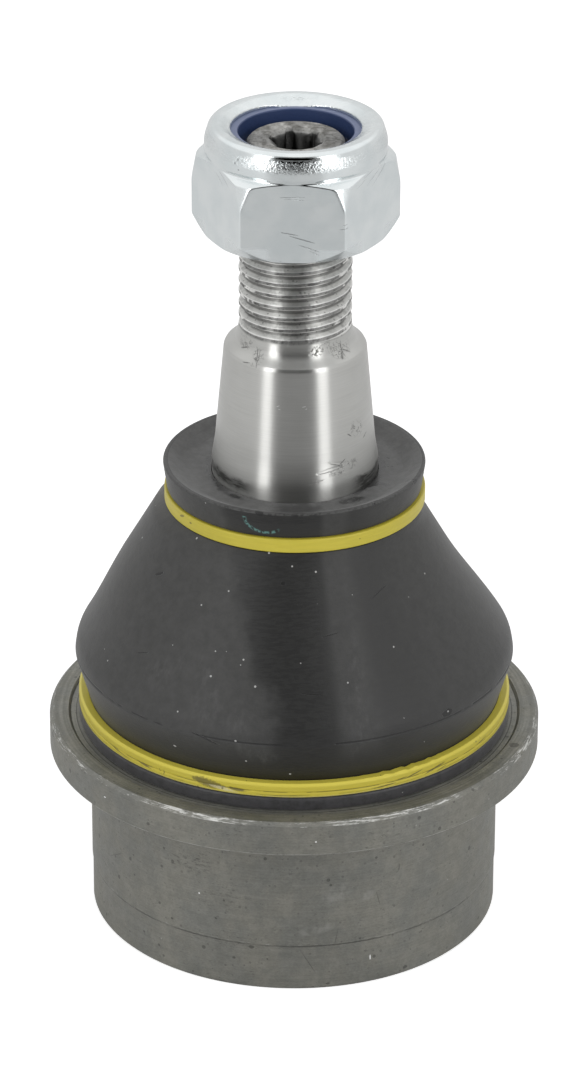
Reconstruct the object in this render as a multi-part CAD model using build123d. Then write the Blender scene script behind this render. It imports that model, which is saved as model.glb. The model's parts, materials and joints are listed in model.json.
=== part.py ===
from build123d import *
from math import cos, pi, radians, sin, sqrt, tan
import os

# Press-in suspension ball joint: a ball stud held between two cups in a flanged
# steel housing, sealed by a rubber boot, with a nylon-insert lock nut on the thread.
# Millimetres. Z runs up the stud, and the origin is the middle of the housing's base.

# Clearances
running_gap = 0.05  # radial, between the pieces that slide or turn on each other
seat_gap = 0.03  # between fixed pieces that are only laid or pressed together

# Ball and cups
ball_radius = 17.0
ball_flat_cut = 2.0  # height that the flat takes off the bottom of the ball
cup_wall = 3.47  # radial, outside the ball
cup_floor = 1.35  # under the lowest point of the spherical hollow
cup_split = 0.6  # height of the gap between the two cups, level with the ball's centre
cup_chamfer = 1.0
grease_hole_radius = 3.0
cup_mouth_angle = 58.0  # from the stud's axis, seen from the ball's centre
housing_mouth_angle = 52.0

# Base of the housing: rolled lip, cover plate, seal and preload spring
lip_height = 1.5
lip_reach = 2.1  # how far the rolled lip covers the plate
lip_bevel = 1.0
cover_height = 2.5
cover_rebate = 2.0  # how much wider the cover's seat is than the main bore
cover_dish_radius = 11.0
cover_dish_depth = 0.6
seal_section = 1.4  # diameter of the sealing ring's cord
spring_outer_radius = 14.0
spring_inner_radius = 7.0
spring_sheet = 0.9
spring_height = 1.5  # free height of the coned disc

# Outside of the housing
press_wall = 3.2  # steel outside the cover's seat
pilot_step = 0.1  # the pilot is this much smaller in radius than the press fit
pilot_height = 6.3
press_length = 15.8
flange_overhang = 5.15
flange_height = 4.4
flange_chamfer = 0.45  # of its upper edge
flange_seat_chamfer = 0.1  # of its lower edge, which the seat runs out to
base_chamfer = 0.3
recess_depth = 0.3  # turned step on the flange, around the boot's foot
recess_margin = 1.4
boss_wall = 3.8  # steel outside the main bore, inside the boot
boss_height = 5.0  # above the recess
crown_wall = 1.8  # steel over the upper cup at the mouth
crown_land = 1.4
crown_round = 1.0

# Boot
cuff_wall = 1.55
bead_depth = 0.9
bead_height = 1.6
foot_height = 1.85
foot_lip = 1.2  # how far the foot stands outside the lower ring's seat
foot_round = 0.4
crease_reach = 1.6  # how far the crease, the widest part, stands outside the cuff
crease_height = 9.0  # above the foot's underside
crease_land = 1.6  # height of the nearly upright band above the crease
crease_lean = 0.25  # how far that band leans in
shoulder_round = 4.5
bell_height = 20.75  # from the crease up to the upper ring
bell_wall = 2.0
seal_wall = 4.95  # rubber between the stud and the upper ring
seal_height = 4.5
bell_rise = 0.7  # how far the bell stands outside the upper ring's seat
bell_round = 2.0  # inside, where the bell meets the seal
lip_rise = 0.5  # the same for the foot of the rim
rim_reach = 1.0  # and for the rim's edge
rim_height = 3.4
rim_wall = 0.6
dish_depth = 1.3
dish_slope = 2.3  # how far in from the rim the dish reaches its floor
dish_round = 2.5

# Clamp rings of the boot
lower_ring_height = 1.8
lower_ring_wall = 1.2
lower_turn_height = 0.72  # up to the line between the ring's two turns
turn_groove = 0.15  # depth of that line
upper_ring_height = 1.8
upper_ring_wall = 0.85
ring_edge = 0.18

# Stud
neck_radius = 8.0
neck_round = 2.0
land_radius = 10.3  # under the boot's seal
land_below_seal = 0.6
land_above_seal = 2.3
land_slope = 4.0  # height of the cone from the neck out to the land
land_slope_round = 4.0
land_neck = 0.7  # height in which the land turns in to the taper
taper_base_radius = 9.94
taper_length = 13.7
taper_ratio = 6.0  # one in six on diameter
shoulder_length = 2.85
shoulder_edge_height = 0.4  # of the short bevel between the taper and the shoulder
shoulder_edge_reach = 0.2
shoulder_waist_height = 1.35  # above the taper, where the hollow shoulder turns up
shoulder_waist_reach = 0.3  # outside the thread
shoulder_hollow_round = 3.0
thread_radius = 6.95  # over the crests of a 14 mm thread with a pitch of 1.5 mm
thread_length = 24.3
end_chamfer = 1.15
lobe_radius = 3.375  # six-lobe drive socket, size 40: half the width over the lobes
web_radius = 2.425  # half the width between opposite bulges
bulge_radius = 1.45
lobe_round = 0.35
socket_phase = 14.0  # degrees from X to the nearest bulge
socket_depth = 4.5
socket_chamfer = 0.3
socket_cone_angle = 30.0  # of the chamfer and of the drilled tip, from square

# Lock nut
across_flats = 22.0
nut_height = 13.8
nut_rest = 12.65  # from the start of the thread up to the nut's underside
nut_phase = -2.0  # degrees that the nut is turned on the stud
hex_height = 10.1
hex_chamfer_height = 3.3  # of the steep chamfer above the corners
hex_shoulder_radius = 12.1  # where that chamfer turns in towards the collar
hex_shoulder_height = 0.6  # from there up to the collar's foot
hex_shoulder_round = 0.3
base_face_radius = 11.2
base_chamfer_height = 1.8
nut_neck_radius = 10.95  # narrowest place, between the shoulder and the collar
nut_collar_radius = 11.12
nut_collar_foot = 0.5  # height above the neck at which the collar reaches its full width
nut_collar_lean = 1.7  # below the top, from where the collar leans in
nut_collar_round = 3.0
nut_crest_radius = 10.62  # of the highest part of the collar, outside
nut_crest_round = 0.55
nut_crest_land = 0.62
nut_entry = 0.8  # chamfer of the thread's entry
nut_lip = 0.9  # how far the rolled lip dips from the crest to its mouth
nut_lip_edge = 0.15
nut_mouth_radius = 7.9
insert_height = 3.0
insert_wall = 2.3
insert_chamfer = 0.3

# Places that follow from the sizes above
cover_base = lip_height
cover_top = cover_base + cover_height
bore_start = cover_top + seal_section + 2 * seat_gap
spring_base = cover_top + running_gap
cup_base = spring_base + spring_height + running_gap
cup_hollow_radius = ball_radius + running_gap
ball_height = cup_base + cup_floor + cup_hollow_radius
cup_radius = cup_hollow_radius + cup_wall
bore_radius = cup_radius + running_gap
cover_seat_radius = bore_radius + cover_rebate
press_radius = cover_seat_radius + press_wall
pilot_radius = press_radius - pilot_step
flange_base = pilot_height + press_length
flange_top = flange_base + flange_height
flange_radius = press_radius + flange_overhang
boss_radius = bore_radius + boss_wall
recess_top = flange_top - recess_depth
boss_top = recess_top + boss_height
crown_top = ball_height + bore_radius * cos(radians(housing_mouth_angle)) + crown_wall
crown_radius = (crown_top - ball_height) * tan(radians(housing_mouth_angle)) + crown_land

cuff_bore = boss_radius + seat_gap
cuff_radius = cuff_bore + cuff_wall
foot_radius = cuff_radius + foot_lip
lower_ring_base = recess_top + foot_height
bead_base = lower_ring_base + (lower_ring_height - bead_height) / 2
crease_radius = cuff_radius + crease_reach
crease_level = recess_top + crease_height
upper_ring_base = crease_level + bell_height
seal_radius = land_radius + running_gap
upper_seat_radius = seal_radius + seal_wall
rim_base = upper_ring_base + upper_ring_height + running_gap
rim_top = rim_base + rim_height
dish_floor = rim_top - dish_depth
seal_base = dish_floor - seal_height

land_top = dish_floor + land_above_seal
taper_base = land_top + land_neck
taper_top = taper_base + taper_length
taper_top_radius = taper_base_radius - taper_length / (2 * taper_ratio)
thread_start = taper_top + shoulder_length
stud_end = thread_start + thread_length
nut_base = thread_start + nut_rest
nut_top = nut_base + nut_height
nut_bore = thread_radius + running_gap
pocket_radius = nut_bore + insert_wall
pocket_top = nut_top - nut_lip - nut_lip_edge


def outline(*corners):
    """Face in the XZ plane from (radius, height) corners; a third number rounds a corner."""
    spots = [Vector(corner[0], corner[1]) for corner in corners]
    bends = []
    for number, corner in enumerate(corners):
        here = spots[number]
        if len(corner) == 2:
            bends.append((here, None, here))
            continue
        back = (spots[number - 1] - here).normalized()
        ahead = (spots[(number + 1) % len(spots)] - here).normalized()
        half_angle = radians(back.get_angle(ahead)) / 2
        trim = corner[2] / tan(half_angle)
        centre = here + (back + ahead).normalized() * (corner[2] / sin(half_angle))
        middle = centre + (here - centre).normalized() * corner[2]
        bends.append((here + back * trim, middle, here + ahead * trim))
    edges = []
    for number, (start, middle, end) in enumerate(bends):
        if middle is not None:
            edges.append(ThreePointArc(start, middle, end))
        following = bends[(number + 1) % len(bends)][0]
        if following != end:
            edges.append(Line(end, following))
    return Plane.XZ * make_face(edges)


def turned(*corners):
    """Solid of revolution about Z from an outline."""
    return revolve(outline(*corners), Axis.Z)


def ball_sector(radius, half_angle):
    """Cone from the ball's centre, wide enough to open a mouth in what lies round it."""
    height = radius * cos(radians(half_angle))
    return turned(
        (0, ball_height),
        (height * tan(radians(half_angle)), ball_height + height),
        (0, ball_height + height),
    )


def around_ball(radius):
    """Sphere about the ball's centre."""
    return Pos(0, 0, ball_height) * Sphere(radius)


def housing():
    """Flanged steel body, with the boot's groove outside and the bearing bore inside."""
    groove_radius = boss_radius - bead_depth
    lip_radius = cover_seat_radius - lip_reach
    body = turned(
        (0, 0),
        (pilot_radius - base_chamfer, 0),
        (pilot_radius, base_chamfer),
        (pilot_radius, pilot_height - pilot_step),
        (press_radius, pilot_height),
        (press_radius, flange_base),
        (flange_radius - flange_seat_chamfer, flange_base),
        (flange_radius, flange_base + flange_seat_chamfer),
        (flange_radius, flange_top - flange_chamfer),
        (flange_radius - flange_chamfer, flange_top),
        (foot_radius + recess_margin, flange_top),
        (foot_radius + recess_margin - recess_depth, recess_top),
        (boss_radius, recess_top),
        (boss_radius, bead_base - seat_gap),
        (groove_radius, bead_base - seat_gap),
        (groove_radius, bead_base + bead_height + seat_gap),
        (boss_radius, bead_base + bead_height + seat_gap),
        (boss_radius, boss_top),
        (crown_radius, crown_top, crown_round),
        (0, crown_top),
    )
    body -= turned((0, bore_start), (bore_radius, bore_start), (bore_radius, ball_height), (0, ball_height))
    body -= around_ball(bore_radius)
    body -= ball_sector(2 * bore_radius, housing_mouth_angle)
    body -= turned(
        (0, cover_base),
        (cover_seat_radius, cover_base),
        (cover_seat_radius, bore_start),
        (0, bore_start),
    )
    return body - turned(
        (0, 0),
        (lip_radius + lip_bevel, 0),
        (lip_radius, lip_bevel),
        (lip_radius, cover_base),
        (0, cover_base),
    )


def upper_ball_seat():
    """Upper cup: spherical outside and inside, open in a cone for the stud's swing."""
    shell = turned(
        (0, ball_height + cup_split / 2),
        (cup_radius, ball_height + cup_split / 2),
        (cup_radius, ball_height + cup_radius),
        (0, ball_height + cup_radius),
    )
    shell &= around_ball(bore_radius - seat_gap)
    shell -= around_ball(cup_hollow_radius)
    return shell - ball_sector(2 * bore_radius, cup_mouth_angle)


def lower_ball_seat():
    """Lower cup, pushed up against the ball by the spring."""
    cup = turned(
        (grease_hole_radius, cup_base),
        (cup_radius - cup_chamfer, cup_base),
        (cup_radius, cup_base + cup_chamfer),
        (cup_radius, ball_height - cup_split / 2),
        (grease_hole_radius, ball_height - cup_split / 2),
    )
    return cup - around_ball(cup_hollow_radius)


def disc_spring():
    """Coned disc that preloads the lower cup."""
    rise = spring_height - spring_sheet
    return turned(
        (spring_inner_radius, spring_base + rise),
        (spring_outer_radius, spring_base),
        (spring_outer_radius, spring_base + spring_sheet),
        (spring_inner_radius, spring_base + spring_height),
    )


def cover_plate():
    """Dished plate that closes the base, held by the housing's rolled lip."""
    edge = cover_seat_radius - seat_gap
    return turned(
        (0, cover_base + cover_dish_depth),
        (cover_dish_radius - cover_dish_depth, cover_base + cover_dish_depth),
        (cover_dish_radius, cover_base),
        (edge, cover_base),
        (edge, cover_top),
        (0, cover_top),
    )


def cover_seal():
    """Sealing ring between the cover plate and the housing's step."""
    middle = cover_seat_radius - seat_gap - seal_section / 2
    cord = Pos(middle, cover_top + seat_gap + seal_section / 2) * Circle(seal_section / 2)
    return revolve(Plane.XZ * cord, Axis.Z)


def drive_socket():
    """Six-lobe hole in the end of the stud, with a chamfered mouth."""
    lobes = Circle(lobe_radius)
    for number in range(6):
        turn = socket_phase + 60 * number
        lobes -= Rot(0, 0, turn) * Pos(web_radius + bulge_radius, 0) * Circle(bulge_radius)
    lobes = fillet(lobes.vertices(), lobe_round)
    hole = Pos(0, 0, stud_end - socket_depth) * extrude(lobes, socket_depth)
    floor = stud_end - socket_depth
    slope = tan(radians(socket_cone_angle))
    mouth_radius = lobe_radius + socket_chamfer
    hole += turned((0, stud_end - mouth_radius * slope), (mouth_radius, stud_end), (0, stud_end))
    return hole + turned((0, floor - web_radius * slope), (web_radius, floor), (0, floor))


def ball_stud():
    """Ball, neck, sealing land, taper and threaded end in one forging."""
    land_base = seal_base - land_below_seal
    shank = turned(
        (0, ball_height),
        (neck_radius, ball_height),
        (neck_radius, land_base - land_slope, land_slope_round),
        (land_radius, land_base),
        (land_radius, land_top),
        (taper_base_radius, taper_base),
        (taper_top_radius, taper_top),
        (taper_top_radius - shoulder_edge_reach, taper_top + shoulder_edge_height),
        (thread_radius + shoulder_waist_reach, taper_top + shoulder_waist_height, shoulder_hollow_round),
        (thread_radius, thread_start),
        (thread_radius, stud_end - end_chamfer),
        (thread_radius - end_chamfer, stud_end),
        (0, stud_end),
    )
    shank += around_ball(ball_radius)
    junction = sqrt(ball_radius**2 - neck_radius**2) + ball_height
    corner = shank.edges().filter_by(GeomType.CIRCLE).sort_by(
        lambda edge: abs(edge.center().Z - junction) + abs(edge.radius - neck_radius)
    )[0]
    shank = fillet(corner, neck_round)
    flat = ball_height - ball_radius + ball_flat_cut
    shank -= turned(
        (0, flat - ball_radius),
        (ball_radius, flat - ball_radius),
        (ball_radius, flat),
        (0, flat),
    )
    return shank - drive_socket()


def dust_boot():
    """Rubber bell: beaded foot on the housing, crease, cone and sealing lip on the stud."""
    bell_top_radius = upper_seat_radius + bell_rise
    bell_top = upper_ring_base - running_gap
    slope = (crease_radius - crease_lean - bell_top_radius) / (bell_height - crease_land)
    across = bell_wall / sqrt(1 + slope**2)  # the wall's offset, as radius and height
    down = across * slope
    bead_radius = cuff_bore - bead_depth
    seat_top = lower_ring_base + lower_ring_height + seat_gap
    rim_radius = upper_seat_radius + rim_reach
    dish_radius = rim_radius - rim_wall
    return turned(
        (cuff_bore, recess_top),
        (foot_radius, recess_top, foot_round),
        (foot_radius, lower_ring_base - seat_gap, foot_round),
        (cuff_radius, lower_ring_base - seat_gap),
        (cuff_radius, seat_top),
        (crease_radius, crease_level),
        (crease_radius - crease_lean, crease_level + crease_land, shoulder_round),
        (bell_top_radius, bell_top),
        (upper_seat_radius, bell_top),
        (upper_seat_radius, rim_base),
        (upper_seat_radius + lip_rise, rim_base),
        (rim_radius, rim_top),
        (dish_radius, rim_top),
        (dish_radius - dish_slope, dish_floor, dish_round),
        (seal_radius, dish_floor),
        (seal_radius, seal_base),
        (bell_top_radius - across, bell_top - down, bell_round),
        (crease_radius - bell_wall, crease_level, shoulder_round),
        (cuff_bore, boss_top),
        (cuff_bore, bead_base + bead_height),
        (bead_radius, bead_base + bead_height),
        (bead_radius, bead_base),
        (cuff_bore, bead_base),
    )


def lower_boot_ring():
    """Flat ring of two turns that clamps the boot's cuff into the housing's groove."""
    inner = cuff_radius + seat_gap
    outer = inner + lower_ring_wall
    line = lower_ring_base + lower_turn_height
    return turned(
        (inner, lower_ring_base),
        (outer - ring_edge, lower_ring_base),
        (outer, lower_ring_base + ring_edge),
        (outer, line - turn_groove),
        (outer - turn_groove, line),
        (outer, line + turn_groove),
        (outer, lower_ring_base + lower_ring_height - 2 * ring_edge),
        (outer - 2 * ring_edge, lower_ring_base + lower_ring_height),
        (inner, lower_ring_base + lower_ring_height),
    )


def upper_boot_ring():
    """Flat ring that clamps the boot's lip on the stud."""
    inner = upper_seat_radius + running_gap
    outer = inner + upper_ring_wall
    top = upper_ring_base + upper_ring_height
    return turned(
        (inner, upper_ring_base),
        (outer, upper_ring_base, ring_edge),
        (outer, top, ring_edge),
        (inner, top),
    )


def lock_nut():
    """Hexagon with chamfered ends, and a collar rolled over the insert."""
    corner_radius = across_flats / 2 / cos(pi / 6)
    neck = nut_base + hex_height
    shoulder = neck - hex_shoulder_height
    hexagon = RegularPolygon(corner_radius, 6, rotation=nut_phase)
    nut = Pos(0, 0, nut_base) * extrude(hexagon, hex_height)
    nut &= turned(
        (0, nut_base),
        (base_face_radius, nut_base),
        (corner_radius, nut_base + base_chamfer_height),
        (corner_radius, shoulder - hex_chamfer_height),
        (hex_shoulder_radius, shoulder, hex_shoulder_round),
        (nut_neck_radius, neck),
        (0, neck),
    )
    nut += turned(
        (0, neck),
        (nut_neck_radius, neck),
        (nut_collar_radius, neck + nut_collar_foot),
        (nut_collar_radius, nut_top - nut_collar_lean, nut_collar_round),
        (nut_crest_radius, nut_top, nut_crest_round),
        (nut_crest_radius - nut_crest_land, nut_top),
        (nut_mouth_radius, nut_top - nut_lip),
        (0, nut_top - nut_lip),
    )
    return nut - turned(
        (0, nut_base),
        (nut_bore + nut_entry, nut_base),
        (nut_bore, nut_base + nut_entry),
        (nut_bore, pocket_top - insert_height),
        (pocket_radius, pocket_top - insert_height),
        (pocket_radius, pocket_top),
        (nut_mouth_radius, pocket_top),
        (nut_mouth_radius, nut_top),
        (0, nut_top),
    )


def nylon_insert():
    """Ring of nylon that grips the thread inside the nut's collar."""
    top = pocket_top - running_gap
    base = pocket_top - insert_height + running_gap
    outer = pocket_radius - running_gap
    return turned(
        (nut_bore, base),
        (outer, base),
        (outer, top),
        (nut_bore + insert_chamfer, top),
        (nut_bore, top - insert_chamfer),
    )


PIECES = {
    "housing": housing,
    "upper_ball_seat": upper_ball_seat,
    "lower_ball_seat": lower_ball_seat,
    "disc_spring": disc_spring,
    "cover_seal": cover_seal,
    "cover_plate": cover_plate,
    "ball_stud": ball_stud,
    "dust_boot": dust_boot,
    "lower_boot_ring": lower_boot_ring,
    "upper_boot_ring": upper_boot_ring,
    "lock_nut": lock_nut,
    "nylon_insert": nylon_insert,
}

os.makedirs("parts", exist_ok=True)
for name, make in PIECES.items():
    export_step(make(), f"parts/{name}.step")
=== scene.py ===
import cmath
import json
from math import acos, asin, ceil, cos, pi, radians, sin, tan

import bmesh
import bpy
import numpy as np
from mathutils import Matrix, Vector


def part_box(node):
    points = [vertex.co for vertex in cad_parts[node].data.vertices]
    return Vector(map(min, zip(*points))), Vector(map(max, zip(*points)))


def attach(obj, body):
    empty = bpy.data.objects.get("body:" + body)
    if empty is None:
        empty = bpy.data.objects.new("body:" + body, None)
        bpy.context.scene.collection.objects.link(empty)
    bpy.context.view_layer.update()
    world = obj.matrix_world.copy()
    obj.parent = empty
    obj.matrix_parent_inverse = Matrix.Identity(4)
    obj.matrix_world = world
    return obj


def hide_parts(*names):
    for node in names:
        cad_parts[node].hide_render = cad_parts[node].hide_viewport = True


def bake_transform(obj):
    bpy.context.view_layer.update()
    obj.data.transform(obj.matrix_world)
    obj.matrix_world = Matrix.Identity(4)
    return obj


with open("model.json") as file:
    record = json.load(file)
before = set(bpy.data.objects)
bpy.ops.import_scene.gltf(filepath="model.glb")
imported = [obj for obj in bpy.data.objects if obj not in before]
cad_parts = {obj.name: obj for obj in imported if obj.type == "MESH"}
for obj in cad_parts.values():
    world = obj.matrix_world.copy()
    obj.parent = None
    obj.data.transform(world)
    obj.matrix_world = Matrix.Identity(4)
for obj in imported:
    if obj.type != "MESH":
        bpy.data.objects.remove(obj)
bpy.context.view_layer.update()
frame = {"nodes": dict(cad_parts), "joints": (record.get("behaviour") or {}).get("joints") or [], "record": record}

# A press-in suspension ball joint. Metres. Z runs up the stud from the middle of the
# housing's base, and the joint is seen from -Y. Angles are in degrees from that side,
# growing to the right.
MM = 0.001


# Sizes that the frame gives

def base_of(node):
    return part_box(node)[0].z


def top_of(node):
    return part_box(node)[1].z


def reach_of(node):
    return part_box(node)[1].y


def mount(name):
    return next(m for m in frame["record"]["mounts"] if m["name"] == name)


def mount_span(name):
    """Lowest and highest place of a mount on the stud's axis, and its radius."""
    found = mount(name)
    half = found["dims"]["length_mm"] * MM / 2
    middle = found["pos_m"][2]
    return middle - half, middle + half, found["dims"]["r_mm"] * MM


ball_height = next(j for j in frame["joints"] if j["name"] == "stud_swing")["pos_m"][2]
flange_base, press_radius = mount_span("press_body")[1:]
taper_base, taper_top, taper_middle_radius = mount_span("stud_taper")
thread_base, stud_end, thread_radius = mount_span("stud_thread")
nut_base, nut_neck, flat_reach = mount_span("nut_hexagon")
lobe_radius = mount("drive_socket")["dims"]["r_mm"] * MM
socket_depth = mount("drive_socket")["dims"]["length_mm"] * MM
nut_top = top_of("lock_nut")
crown_top = top_of("housing")
flange_radius = reach_of("housing")
recess_top = base_of("dust_boot")
rim_top = top_of("dust_boot")
crease_radius = reach_of("dust_boot")
lower_ring_base, lower_ring_top = base_of("lower_boot_ring"), top_of("lower_boot_ring")
lower_ring_radius = reach_of("lower_boot_ring")
upper_ring_base, upper_ring_top = base_of("upper_boot_ring"), top_of("upper_boot_ring")
upper_ring_radius = reach_of("upper_boot_ring")


# Forms

MERGED = 0.001 * MM  # points this close are one
BEND_STEP = radians(12)  # how far a line turns at most between two runs of a rounding


def placed(name, data):
    """A new object in the scene."""
    made = bpy.data.objects.new(name, data)
    bpy.context.scene.collection.objects.link(made)
    return made


def rounded(corners, edge, step):
    """Line of (radius, height) through corners, as complex numbers.

    A corner's third number is its rounding, and the others get the edge's. No run is
    longer than the step, which may be a function of the place.
    """
    step_at = step if callable(step) else lambda place: step
    spots = [complex(*corner[:2]) for corner in corners]
    bends = []
    for number, corner in enumerate(corners):
        here = spots[number]
        back, ahead = spots[number - 1] - here, spots[(number + 1) % len(spots)] - here
        room = 0.49 * min(abs(back), abs(ahead))
        rounding = corner[2] if len(corner) == 3 else edge
        if not rounding:
            bends.append(here)
            continue
        back, ahead = back / abs(back), ahead / abs(ahead)
        half = abs(cmath.phase(ahead / back)) / 2
        trim = min(rounding / tan(half), room)
        rounding = trim * tan(half)
        centre = here + (back + ahead) / abs(back + ahead) * rounding / sin(half)
        first, last = here + back * trim - centre, here + ahead * trim - centre
        sweep = cmath.phase(last / first)
        pieces = ceil(max(abs(sweep) / BEND_STEP, abs(sweep) * rounding / step_at(here)))
        bends += [centre + first * cmath.exp(1j * sweep * k / pieces) for k in range(pieces + 1)]
    line = []
    for number, here in enumerate(bends):
        ahead = bends[(number + 1) % len(bends)] - here
        pieces = max(1, ceil(abs(ahead) / step_at(here + ahead / 2)))
        line += [here + ahead * k / pieces for k in range(pieces)]
    return line


def turned(name, line, count, closed=True, reshape=None):
    """Mesh of revolution from a line that runs counter-clockwise, seen with Z up."""
    line = np.array(line)
    radius = np.repeat(line.real[:, None], count, 1)
    height = np.repeat(line.imag[:, None], count, 1)
    angle = np.broadcast_to(np.arange(count) * 2 * pi / count - pi / 2, radius.shape)
    if reshape:
        radius, height = reshape(radius, height, angle)
    points = np.stack([radius * np.cos(angle), radius * np.sin(angle), height], -1)
    rows = len(line) if closed else len(line) - 1
    here = (np.arange(rows)[:, None] * count + np.arange(count)).ravel()
    beside = (np.arange(rows)[:, None] * count + (np.arange(count) + 1) % count).ravel()
    above = (here + count) % (len(line) * count)
    beside_above = (beside + count) % (len(line) * count)
    mesh = bpy.data.meshes.new(name)
    faces = np.stack([here, beside, beside_above, above], 1).tolist()
    mesh.from_pydata(points.reshape(-1, 3), [], faces)
    if not closed:
        shape = bmesh.new()
        shape.from_mesh(mesh)
        poles = [point for point in shape.verts if point.co.xy.length < MERGED]
        bmesh.ops.remove_doubles(shape, verts=poles, dist=MERGED)
        shape.to_mesh(mesh)
        shape.free()
    mesh.shade_smooth()
    return placed(name, mesh)


def eased(value, low, high):
    """Smooth step of an array from low to high."""
    share = np.clip((value - low) / (high - low), 0, 1)
    return share * share * (3 - 2 * share)


def softest(one, other, sharpness):
    """The smaller of two sets of lengths, with the corner between them softened."""
    return -np.log(np.exp(-one * sharpness) + np.exp(-other * sharpness)) / sharpness


# Node trees

def math_node(operation):
    """A method of a wire that adds that Math node."""
    return lambda wire, *others: wire.math(operation, *others)


class Wire:
    """A socket in a node tree. Arithmetic on it adds Math nodes."""

    def __init__(self, tree, socket):
        self.tree, self.socket = tree, socket

    def math(self, operation, *others):
        values = dict(enumerate((self, *others)))
        return self.tree.node("ShaderNodeMath", {"operation": operation}, values)

    def __rsub__(self, other):
        return self.tree.node("ShaderNodeMath", {"operation": "SUBTRACT"}, {0: other, 1: self})

    __add__ = __radd__ = math_node("ADD")
    __sub__ = math_node("SUBTRACT")
    __mul__ = __rmul__ = math_node("MULTIPLY")
    __truediv__, __pow__, __abs__ = map(math_node, ("DIVIDE", "POWER", "ABSOLUTE"))
    __gt__, __lt__ = map(math_node, ("GREATER_THAN", "LESS_THAN"))
    most, least = map(math_node, ("MAXIMUM", "MINIMUM"))

    def ease(self, low, high, lowest=0.0, highest=1.0):
        """Smooth step of the value from low to high."""
        return self.tree.node("ShaderNodeMapRange", {"interpolation_type": "SMOOTHSTEP"}, {
            "Value": self, "From Min": low, "From Max": high,
            "To Min": lowest, "To Max": highest})

    def band(self, low, high, soft):
        """1 where the value is between two others, with soft ends."""
        return self.ease(low - soft, low + soft) * self.ease(high + soft, high - soft)


class Tree:
    """A node tree that is written as expressions."""

    def __init__(self, tree):
        self.tree = tree

    def node(self, kind, settings=None, sockets=None, output=0):
        """Adds a node: its settings first, then a value or a wire for each socket."""
        made = self.tree.nodes.new(kind)
        for name, value in (settings or {}).items():
            setattr(made, name, value)
        for name, value in (sockets or {}).items():
            if isinstance(value, Wire):
                self.tree.links.new(value.socket, made.inputs[name])
            else:
                made.inputs[name].default_value = value
        return Wire(self, made.outputs[output])

    def parts(self, vector):
        """The three numbers of a vector."""
        return [self.node("ShaderNodeSeparateXYZ", {}, {0: vector}, axis) for axis in range(3)]

    def vector(self, *numbers):
        return self.node("ShaderNodeCombineXYZ", {}, dict(enumerate(numbers)))

    def scaled(self, vector, factors, shift):
        """A vector times some factors, plus a shift."""
        return self.node("ShaderNodeVectorMath", {"operation": "MULTIPLY_ADD"}, {
            0: vector, 1: factors, 2: shift})


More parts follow.
